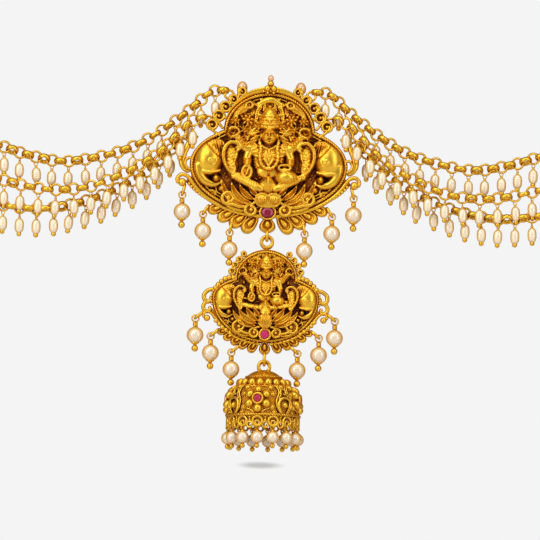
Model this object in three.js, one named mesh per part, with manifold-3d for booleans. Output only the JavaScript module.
// Hair brooch in the temple-jewellery style: a cast relief plaque with three chains on each side, a smaller plaque
// that hangs from it by a ring, and a bell-shaped drop that hangs from that one. Pearl drops fringe all three.
// Millimetres, +Z up, front facing -Y. The origin is on the back of the main plaque, where the hair pin sits.
import * as THREE from "three";
import { mergeVertices } from "three/addons/utils/BufferGeometryUtils.js";
import Module from "manifold-3d";

const wasm = await Module();
wasm.setup();

// ---- driving dimensions -------------------------------------------------------------------------------------
const PLATE = 1.4; // thickness of the cast plates
const EDGE = 1.3; // how far the plate runs on outside the rope rim
const ROPE = 0.6; // half width of the rope rim, and its height above the plate
const SUNK = 0.7; // how far raised work reaches into the plate under it
const GAP = 0.3; // clearance between loose pieces
const HANG_Y = -1.5; // depth of the line on which the drops hang plumb
const LOOP_Y = -0.9; // depth of the loops soldered to the plaques' edges
const ROUND = 10; // sides of beads, pearls and rings
const WIRE_SIDES = 5; // sides of a ring's wire

// A plaque's field is an oval with a dome over it. oval: half width, height of its widest line, rise and drop from
// it. dome: half width, foot, rise, and the extra height of the crescent above the rope. bowl: half width and drop
// of the border that widens the lower half, and its upper end. volutes and scrolls: place and radius; petals:
// place, half length, half width and lean from straight down in degrees; brackets: place, half sizes and the
// holes cut through them; lugs: rings that hold the chains. All these stand on both sides. hook: radius of the
// ring under the centre petal. drops: place of the pearl pins' eyes, and the lean of the loops that hold them.
const MAIN = {
  size: 1,
  oval: { x: 25.6, z: -5.2, up: 13.6, down: 15.6 },
  dome: { x: 14.5, z: 6, up: 12.6, crest: 2.7 },
  bowl: { x: 29.4, down: 16.3, top: -10 },
  volutes: [
    { x: 28.1, z: -11.6, r: 2.6 },
    { x: 13.3, z: -16.8, r: 2.9 },
    { x: 5.5, z: -20, r: 2.4 },
  ],
  scrolls: [
    { x: 9.8, z: 19.3, r: 2 },
    { x: 12.2, z: 16.8, r: 2 },
    { x: 14.6, z: 14.1, r: 2.1 },
    { x: 16.8, z: 11.2, r: 2.1 },
    { x: 19, z: 8.2, r: 2.1 },
    { x: 18.3, z: 5.6, r: 1.3 },
  ],
  petals: [
    { x: 5.6, z: -24.6, long: 3.4, wide: 2, lean: 30 },
    { x: 9.6, z: -23.3, long: 3.8, wide: 1.9, lean: 48 },
    { x: 13.4, z: -21.7, long: 3.8, wide: 1.7, lean: 58 },
    { x: 17.7, z: -19.2, long: 3.4, wide: 1.8, lean: 66 },
  ],
  tip: { z: -24.6, long: 3.4, wide: 2.8 },
  brackets: [{ x: 27, z: -4.2, wide: 3.5, high: 6.6, holes: [[26.9, -1.6, 0.8, 1.5], [27.5, -6.6, 1, 1]] }],
  lugs: [[13.7, 18.5], [20.5, 9.7], [28.4, 1.9]],
  knob: [{ z: 22, r: 1.1 }],
  face: 4.8,
  elephant: { x: 19, z: -3.4 },
  lotus: -16.4,
  bezel: { z: -21, x: 3, up: 2.6 },
  hook: 1.6,
  pivot: -28.9,
  drops: [
    { x: 28.6, z: -15.6, lean: 15 },
    { x: 21.5, z: -21.9, lean: 32 },
    { x: 12.5, z: -27.9, lean: 10 },
  ],
};
const MIDDLE = {
  size: 0.68,
  oval: { x: 17.2, z: -49.5, up: 7.3, down: 14.4 },
  dome: { x: 10, z: -43.6, up: 9.4, crest: 0.9 },
  bowl: { x: 19.6, down: 15, top: -54 },
  volutes: [
    { x: 19.3, z: -54.6, r: 2 },
    { x: 9, z: -59.1, r: 2 },
    { x: 4.7, z: -61.4, r: 1.5 },
  ],
  scrolls: [
    { x: 8.1, z: -36.7, r: 1.2 },
    { x: 9.7, z: -38.3, r: 1.2 },
    { x: 11.2, z: -40.6, r: 1.3 },
    { x: 13.1, z: -42.2, r: 1.5 },
  ],
  petals: [
    { x: 3.8, z: -65, long: 2.5, wide: 1.4, lean: 28 },
    { x: 6.7, z: -63.9, long: 3.1, wide: 1.4, lean: 46 },
    { x: 9.5, z: -62.4, long: 2.8, wide: 1.3, lean: 56 },
    { x: 12.2, z: -60.9, long: 2.8, wide: 1.2, lean: 64 },
    { x: 14.8, z: -59.6, long: 2.4, wide: 1.2, lean: 66 },
  ],
  tip: { z: -65.4, long: 2.8, wide: 1.9 },
  brackets: [{ x: 17.9, z: -49.6, wide: 2.4, high: 4.6, holes: [] }],
  lugs: [],
  knob: [],
  face: -41.8,
  elephant: { x: 13.1, z: -49.4 },
  lotus: -57.6,
  bezel: { z: -61.7, x: 2.3, up: 2.3 },
  hook: 2,
  pivot: -70.5,
  drops: [
    { x: 23.2, z: -56.8, lean: 50 },
    { x: 18, z: -62.6, lean: 50 },
    { x: 11, z: -67.9, lean: 50 },
  ],
};

const LOOP = { r: 1.45, wire: 0.4 }; // soldered loop, to its wire's centre
const EYE = { r: 1.15, wire: 0.3 }; // eye of a pearl's pin
const HOOK_WIRE = 0.55; // wire radius of the rings that carry the drops
const BAIL_R = 1.85; // radius of the ring on top of a drop, to its wire's centre
const PEARL = { r: 2.8, bore: 0.7, below: 5.6 }; // its centre lies below its pin's eye
const SHANK = 0.35; // radius of the pin inside the pearl
const BEAD = { r: 1.15, below: 4.4 }; // ball at the foot of a pin, below the pearl's centre
const RICE = { r: 1.5, half: 2.1, z: 22 }; // the two pearls behind the uppermost scrolls
const FINIAL = { r: 0.85, half: 1.1, z: 24.5 };

// Chains: outer diameter, and the route of each one on the right, from its lug to its end bar.
const CHAIN = 4;
const CHAINS = {
  top_strand: [
    [16.4, 0, 20], [20.7, 1, 18.7], [26, 2.2, 14], [35.6, 3, 6.6], [46, 3, 0.4], [57.5, 3, -3.2],
    [69.3, 3, -4.8], [81.4, 2, -2.8], [91.2, 0, 0],
  ],
  middle_strand: [
    [23.1, -0.8, 10.3], [25.9, -1.6, 9.2], [29.8, -2.4, 5.2], [37.6, -2, -2.6], [48.3, -2, -8.9],
    [59.8, -1.4, -13.6], [72, -0.6, -14.8], [82, -0.2, -13.5], [91.2, 0, -11.3],
  ],
  lower_strand: [
    [31.7, 2, 0.8], [35, 2.4, -2.4], [40.9, 2.2, -7.8], [51.4, 2.2, -14.2], [63.3, 1.2, -18.9],
    [75.4, 0.3, -21.2], [83, 0, -21], [91.2, 0, -20],
  ],
};
const END_BAR = { x: 95.4, wide: 3, thick: 1.6, top: 2.4, foot: -22.4, reach: 7 };
const END_RING = { r: 1.35, wire: 0.45, gap: 0.5 };

const BELL = { neck: -73.9, rim: -88.4, hem: -92.6, r: 11.9, wall: 0.9, sides: 16 };
const BELL_TURN = -9; // degrees by which the front rosette stands off the centre line
const ROSETTE = { count: 4, z: -83.4, r: 2.9, out: 11.6 };
const LACE = { hole: 1, z: -90.8 }; // holes cut through the bell's skirt
const BELL_DROPS = { count: 14, r: 2.2, z: -96, stem: 0.5 };
const STONES = { side: 1.4, rise: 0.8 };
const PIN = { r: 0.8, half: 6, y: 3.8, top: 7, foot: -20 };

// ---- helpers ------------------------------------------------------------------------------------------------
const rad = THREE.MathUtils.degToRad;

// A closed three.js geometry as a manifold-3d solid.
function solid(geometry) {
  const bare = geometry.index ? geometry.toNonIndexed() : geometry.clone();
  bare.deleteAttribute("normal");
  bare.deleteAttribute("uv");
  const merged = mergeVertices(bare, 1e-4);
  const corners = merged.index.array;
  const kept = [];
  for (let i = 0; i < corners.length; i += 3) {
    const [a, b, c] = corners.subarray(i, i + 3);
    if (a !== b && b !== c && a !== c) kept.push(a, b, c);
  }
  const vertProperties = merged.attributes.position.array;
  return new wasm.Manifold(new wasm.Mesh({ numProp: 3, vertProperties, triVerts: new Uint32Array(kept) }));
}

const fuse = (parts) => parts.reduce((whole, part) => whole.add(part));
const both = (parts) => parts.flatMap((part) => [part, part.mirror([1, 0, 0])]);

// A manifold-3d solid as a named mesh.
function mesh(name, part, material) {
  const { numProp, numVert, vertProperties, triVerts } = part.getMesh();
  const position = new Float32Array(numVert * 3);
  for (let i = 0; i < numVert; i++) position.set(vertProperties.subarray(i * numProp, i * numProp + 3), i * 3);
  const geometry = new THREE.BufferGeometry();
  geometry.setAttribute("position", new THREE.BufferAttribute(position, 3));
  geometry.setIndex(new THREE.BufferAttribute(triVerts, 1));
  geometry.computeVertexNormals();
  const made = new THREE.Mesh(geometry, material);
  made.name = name;
  return made;
}

// An outline drawn in X and Z, thickened towards the front from depth y = back by depth.
function slab(shape, back, depth, curveSegments = 4) {
  const geometry = new THREE.ExtrudeGeometry(shape, { depth, bevelEnabled: false, curveSegments });
  return solid(geometry.rotateX(Math.PI / 2)).translate([0, back, 0]);
}

const oval = (x, z, rx, rz) => new THREE.Shape().absellipse(x, z, rx, rz, 0, 2 * Math.PI);

// A round bar through a short list of points.
function bar(points, radius, steps, sides = 6) {
  const path = new THREE.CatmullRomCurve3(points.map((point) => new THREE.Vector3(...point)));
  const section = new THREE.Shape().absarc(0, 0, radius, 0, 2 * Math.PI);
  return solid(new THREE.ExtrudeGeometry(section, { steps, extrudePath: path, curveSegments: sides / 2 }));
}

// A ring that faces the front, and one seen edge on whose plane leans outwards from straight down.
function ring(x, y, z, r, wire) {
  return solid(new THREE.TorusGeometry(r, wire, WIRE_SIDES, ROUND).rotateX(Math.PI / 2).translate(x, y, z));
}
function edgeRing(x, y, z, r, wire, lean = 0) {
  const torus = new THREE.TorusGeometry(r, wire, WIRE_SIDES, ROUND).rotateY(Math.PI / 2 - rad(lean));
  return solid(torus.translate(x, y, z));
}

// A flat ring that faces the front, as thick as its wire.
function washer(x, y, z, r, wire) {
  const shape = new THREE.Shape().absarc(0, 0, r + wire, 0, 2 * Math.PI);
  shape.holes.push(new THREE.Path().absarc(0, 0, r - wire, 0, 2 * Math.PI));
  return slab(shape, wire, 2 * wire, 3).translate([x, y, z]);
}

// A solid turned about the vertical axis, from [radius, height] pairs listed from the top down.
function turned(profile, sides = ROUND) {
  const points = [...profile].reverse().map(([r, z]) => new THREE.Vector2(r, z));
  return solid(new THREE.LatheGeometry(points, sides).rotateX(Math.PI / 2));
}

// A solid turned about an axis that faces the front, from [radius, rise] pairs, stretched to an oval of half
// sizes rx and rz that leans from straight down.
function struck(profile, x, back, z, rx, rz, lean = 0, sides = 8) {
  const points = profile.map(([r, rise]) => new THREE.Vector2(r, rise));
  const lathe = new THREE.LatheGeometry(points, sides).scale(rx, 1, rz).rotateX(Math.PI).rotateY(-rad(lean));
  return solid(lathe.translate(x, back, z));
}

// A cushion-shaped boss whose top stands above the plate's face by height. Its root lies inside the plate.
function boss(x, z, rx, rz, height, lean = 0, sides = 6, back = -SUNK) {
  const rise = PLATE + height + back;
  return struck([[0, 0], [1, 0], [0.75, rise * 0.85], [0, rise]], x, back, z, rx, rz, lean, sides);
}

// A petal or volute on the plate's edge, which is as thick as the plate and a boss.
const edgeBoss = (x, z, rx, rz, height, lean) => boss(x, z, rx, rz, height, lean, 6, 0);

// A ball stretched to three half sizes.
function blob(x, y, z, rx, ry, rz, sides = 8, bands = 4) {
  return solid(new THREE.SphereGeometry(1, sides, bands).rotateX(Math.PI / 2).scale(rx, ry, rz).translate(x, y, z));
}

// ---- materials ----------------------------------------------------------------------------------------------
const gold = new THREE.MeshStandardMaterial({ color: 0xc9921e, roughness: 0.35, metalness: 1 });
const pearl = new THREE.MeshStandardMaterial({ color: 0xf1dfc2, roughness: 0.25, metalness: 0 });
const ruby = new THREE.MeshStandardMaterial({ color: 0x9b1b4b, roughness: 0.1, metalness: 0 });
const pink = new THREE.MeshStandardMaterial({ color: 0xd04890, roughness: 0.15, metalness: 0 });

const brooch = new THREE.Group();

// ---- plaques ------------------------------------------------------------------------------------------------
// The field's outline, an oval and a dome that meet at the dome's foot, grown outwards by some millimetres.
function outline(path, { oval: o, dome: d }, grow) {
  const meet = Math.acos((d.x + grow) / (o.x + grow));
  path.absellipse(0, d.z, d.x + grow, d.up + grow, 0, Math.PI);
  path.absellipse(0, o.z, o.x + grow, o.up + grow, Math.PI - meet, Math.PI);
  path.absellipse(0, o.z, o.x + grow, o.down + grow, Math.PI, 2 * Math.PI);
  path.absellipse(0, o.z, o.x + grow, o.up + grow, 0, meet);
  return path;
}

// The pierced plate with its rope rim, crescent, lower border, scrolls, volutes and petals.
function plate(p) {
  const { oval: o, dome: d, bowl } = p;
  const rope = outline(new THREE.Shape(), p, ROPE);
  rope.holes.push(outline(new THREE.Path(), p, -ROPE));
  const crest = new THREE.Shape().absellipse(0, d.z, d.x + EDGE, d.up + d.crest, 0, Math.PI);
  const cut = Math.acos((o.z - bowl.top) / bowl.down);
  const border = new THREE.Shape();
  border.absellipse(0, o.z, bowl.x, bowl.down, 1.5 * Math.PI - cut, 1.5 * Math.PI + cut);
  const parts = [
    slab(outline(new THREE.Shape(), p, EDGE), 0, PLATE), slab(rope, -SUNK, PLATE + ROPE - SUNK),
    slab(crest, 0, PLATE), slab(border, 0, PLATE),
  ];

  const side = [];
  for (const { x, z, r } of p.scrolls) {
    side.push(struck([[0, 0], [1, 0], [1, PLATE + 0.6], [0, PLATE - 0.4]], x, 0, z, r, r, 0, 7));
  }
  for (const { x, z, r } of p.volutes) side.push(edgeBoss(x, z, r, r, 1.4));
  for (const { x, z, long, wide, lean } of p.petals) side.push(edgeBoss(x, z, wide, long, 0.8, lean));
  for (const { x, z, wide, high, holes } of p.brackets) {
    let bracket = slab(oval(x, z, wide, high), 0, PLATE, 4);
    for (const [hx, hz, rx, rz] of holes) bracket = bracket.subtract(slab(oval(hx, hz, rx, rz), 1, PLATE + 2, 3));
    side.push(bracket);
  }
  parts.push(...both(side), edgeBoss(0, p.tip.z, p.tip.wide, p.tip.long, 1));
  for (const { z, r } of p.knob) parts.push(edgeBoss(0, z, r, r, 0.6));
  return fuse(parts);
}

// The goddess on her lotus, with plain round forms. Places are set out from her face.
function figure(p) {
  const s = p.size;
  const at = (x, z, y = 0) => [x * s, -PLATE - y * s, p.face + z * s];
  const limb = (points, r) => bar(points.map(([x, z, y]) => at(x, z, y)), r * s, points.length - 1);
  const ball = (x, z, y, rx, ry, rz) => blob(...at(x, z, y), rx * s, ry * s, rz * s);
  const crown = turned([[0, 6.2], [0.9, 5], [2.2, 2.6], [3.4, 0.4], [2.8, -1], [0, -1]], 8);
  const paired = [
    limb([[3, -2.8, 1], [8, -4, 1.6], [11.6, 0.6, 2.4]], 1.4),
    boss(9.6 * s, p.face + 4 * s, 2.8 * s, 2.2 * s, 1.6 * s),
    limb([[11, -13.4, 1], [6.4, -15, 2.2], [1, -17.2, 2.2]], 1.7),
    boss(9.4 * s, p.lotus + 2.4 * s, 1.8 * s, 4.4 * s, 2.2 * s, 120),
  ];
  return [
    ...both(paired),
    boss(0, p.face + 5.4 * s, 5.6 * s, 6.6 * s, 0.8),
    crown.scale([s, s * 0.8, s]).translate(at(0, 3.8, 1.6)),
    ball(0, 0, 2, 2.6, 2.6, 3),
    boss(0, p.face - 6.6 * s, 4.6 * s, 5.6 * s, 3.4 * s, 0, 8),
    ball(6.4, -13.6, 2, 3.6, 2.2, 2.3),
    boss(0, p.lotus, 4.2 * s, 2.6 * s, 3.4 * s),
  ];
}

// An elephant's head in profile: brow, ear, trunk and ball.
function elephant(p) {
  const s = p.size;
  const { x, z } = p.elephant;
  const trunk = [[3.4, -2.4, 1.4], [3.2, -6.4, 1.4], [0.6, -8.6, 1.4], [-1.6, -7, 1.6]];
  return [
    boss(x, z, 4.7 * s, 5.6 * s, 3.2 * s, 0, 8),
    boss(x - 6.6 * s, z + 0.4 * s, 2.4 * s, 5.4 * s, 2 * s, 10),
    bar(trunk.map(([dx, dz, dy]) => [x + dx * s, -PLATE - dy * s, z + dz * s]), 1.2 * s, 3),
  ];
}

// The cup that holds an oval stone: its wall, and the floor the stone lies on.
const SETTING = [[0, 0], [1, 0], [1, 2.8], [0.86, 2.8], [0.86, 2], [0, 2]];

function plaque(p) {
  const loops = p.drops.map(({ x, z, lean }) => edgeRing(
    x - LOOP.r * Math.sin(rad(lean)), LOOP_Y, z + 0.15 + LOOP.r * Math.cos(rad(lean)), LOOP.r, LOOP.wire, lean,
  ));
  const lugs = p.lugs.map(([x, z]) => washer(x, 0, z, LOOP.r, LOOP.wire));
  const { bezel } = p;
  return fuse([
    plate(p), ...figure(p), ...both([...elephant(p), ...loops, ...lugs]),
    struck(SETTING, 0, 0, bezel.z, bezel.x, bezel.up, 0, 12),
    edgeRing(0, HANG_Y, p.pivot - 2 * HOOK_WIRE - GAP + p.hook, p.hook, HOOK_WIRE),
  ]);
}

// A cut stone: pointed back, girdle, sloping crown facets and a flat table.
const CUT = [[0, 0], [0.6, 0.15], [1, 0.7], [0.62, 1.3], [0, 1.3]];

function plaqueStone(name, { bezel }, material) {
  const shrink = (size) => size * 0.86 - GAP;
  const stone = struck(CUT, 0, -2 - GAP, bezel.z, shrink(bezel.x), shrink(bezel.up), 0, ROUND);
  return mesh(name, stone, material);
}

const bail = (pivot) => ring(0, HANG_Y, pivot - BAIL_R, BAIL_R, HOOK_WIRE);

brooch.add(mesh("main_plaque", plaque(MAIN), gold), plaqueStone("main_ruby", MAIN, ruby));
brooch.add(mesh("middle_plaque", plaque(MIDDLE).add(bail(MAIN.pivot)), gold));
brooch.add(plaqueStone("middle_ruby", MIDDLE, pink));

// ---- pearls along the top -----------------------------------------------------------------------------------
for (const [name, side] of [["top_pearl_left", -1], ["top_pearl_right", 1]]) {
  const at = [side * MAIN.scrolls[0].x, GAP + RICE.r, RICE.z];
  brooch.add(mesh(name, blob(...at, RICE.r, RICE.r, RICE.half, ROUND), pearl));
}
brooch.add(mesh("finial_pearl", blob(0, -PLATE / 2, FINIAL.z, FINIAL.r, FINIAL.r, FINIAL.half, ROUND), pearl));

// ---- pearl drops of the plaques -----------------------------------------------------------------------------
// Heights from the pearl's centre. The pin runs loose through the drilled pearl.
const DRILLED = [
  [PEARL.bore, 2.7], [2.1, 1.85], [PEARL.r, 0], [2.1, -1.85], [PEARL.bore, -2.7], [PEARL.bore, 2.7],
];
const SHAFT = [
  [0, PEARL.below - 0.9], [0.95, 3.1], [SHANK, 3.1], [SHANK, 1 - BEAD.below],
  [BEAD.r, -BEAD.below], [0, -1 - BEAD.below],
];

function addDrops(prefix, { drops }) {
  const places = [...drops.map((drop) => ({ ...drop, x: -drop.x })), ...[...drops].reverse()];
  places.forEach(({ x, z }, i) => {
    const centre = [x, LOOP_Y, z - PEARL.below];
    const pin = turned(SHAFT).translate(centre).add(ring(x, LOOP_Y, z, EYE.r, EYE.wire));
    brooch.add(mesh(`${prefix}_pearl_${i + 1}`, turned(DRILLED).translate(centre), pearl));
    brooch.add(mesh(`${prefix}_pin_${i + 1}`, pin, gold));
  });
}
addDrops("main", MAIN);
addDrops("middle", MIDDLE);

// ---- bell ---------------------------------------------------------------------------------------------------
// Places on the bell's wall: a lathe or ring made round the vertical axis is turned and moved outwards.
function round(part, degrees, out, z) {
  return part.translate([0, -out, 0]).rotate([0, 0, degrees]).translate([0, HANG_Y, z]);
}

function bell() {
  const { neck, rim, hem, r, wall } = BELL;
  const outer = [
    [0, neck], [1.4, neck], [2, neck - 0.9], [6.4, neck - 1.5], [7.3, neck - 2.2], [9.2, neck - 4.6],
    [r - 1, neck - 6.8], [r + 0.2, neck - 9.6], [r, rim + 0.9], [r + 0.5, rim], [r, rim - 0.9], [r, hem],
    [r - wall, hem], [r - wall, neck - 9.8], [8.2, neck - 5], [0, neck - 2.4],
  ];
  const shell = turned(outer, BELL.sides).translate([0, HANG_Y, 0]);
  const hole = turned([[0, 2], [LACE.hole, 2], [LACE.hole, -2], [0, -2]], 5).rotate([90, 0, 0]);
  const parts = [];
  for (let i = 0; i < ROSETTE.count; i++) {
    const cup = struck([[0, 0], [1, 0], [0.8, 0.8], [0, 0.8]], 0, 0, 0, ROSETTE.r, ROSETTE.r, 0, ROUND);
    parts.push(round(cup, BELL_TURN + (i * 360) / ROSETTE.count, ROSETTE.out, ROSETTE.z));
  }
  let lace = shell;
  for (let i = 0; i < BELL_DROPS.count; i++) {
    const turn = BELL_TURN + (i * 360) / BELL_DROPS.count;
    lace = lace.subtract(round(hole, turn, r - wall / 2, LACE.z));
  }
  return fuse([lace, ...parts, bail(MIDDLE.pivot)]);
}

brooch.add(mesh("bell", bell(), gold));
for (let i = 0; i < ROSETTE.count; i++) {
  const stone = struck(CUT, 0, 0, 0, STONES.side, STONES.side, 0, ROUND);
  const turn = BELL_TURN + (i * 360) / ROSETTE.count;
  brooch.add(mesh(`bell_ruby_${i + 1}`, round(stone, turn, ROSETTE.out + STONES.rise + GAP, ROSETTE.z), ruby));
}
for (let i = 0; i < BELL_DROPS.count; i++) {
  const { r, z, stem } = BELL_DROPS;
  const profile = [
    [0, BELL.hem - GAP], [stem, BELL.hem - GAP], [stem, z + 2.1], [r, z + 0.5], [r, z - 0.5], [stem, z - 2.1], [0, z - 3.2],
  ];
  const turn = BELL_TURN + (i * 360) / BELL_DROPS.count;
  const name = `bell_drop_${String(i + 1).padStart(2, "0")}`;
  brooch.add(mesh(name, round(turned(profile), turn, BELL.r - BELL.wall / 2, 0), pearl));
}

// ---- chains, end bars and hair pin --------------------------------------------------------------------------
for (const [side, sign] of [["left", -1], ["right", 1]]) {
  for (const [name, route] of Object.entries(CHAINS)) {
    const points = route.map(([x, y, z]) => [sign * x, y, z]);
    brooch.add(mesh(`${side}_${name}`, bar(points, CHAIN / 2, 9, 8), gold));
  }
}

function endBar(sign) {
  const { x, wide, thick, top, foot, reach } = END_BAR;
  const upright = new THREE.BoxGeometry(wide, thick, top - foot).translate(x, 0, (top + foot) / 2);
  const rings = Object.values(CHAINS).map((route) => {
    const [ex, ey, ez] = route.at(-1);
    return washer(ex + END_RING.gap + END_RING.r + END_RING.wire, ey, ez, END_RING.r, END_RING.wire);
  });
  const middle = (top + foot) / 2;
  const hook = [
    [x + wide / 2 - 0.5, 0, middle], [x + reach, 0, middle], [x + reach + 1.8, 0, middle - 2],
    [x + reach, 0, middle - 4], [x + reach - 2.6, 0, middle - 4],
  ];
  const whole = fuse([solid(upright), ...rings, bar(hook, 0.8, 6)]);
  return sign < 0 ? whole.mirror([1, 0, 0]) : whole;
}
brooch.add(mesh("left_end_bar", endBar(-1), gold), mesh("right_end_bar", endBar(1), gold));

function hairPin() {
  const { r, half, y, top, foot } = PIN;
  const pad = new THREE.BoxGeometry(12, y - GAP, 4).translate(0, (y + GAP) / 2, top - 2);
  const prong = (x) => bar([[x, y, top - 1], [x, y, -6], [x, y, foot]], r, 2, 8);
  return fuse([solid(pad), prong(half), prong(-half)]);
}
brooch.add(mesh("hair_pin", hairPin(), gold));

export default brooch;
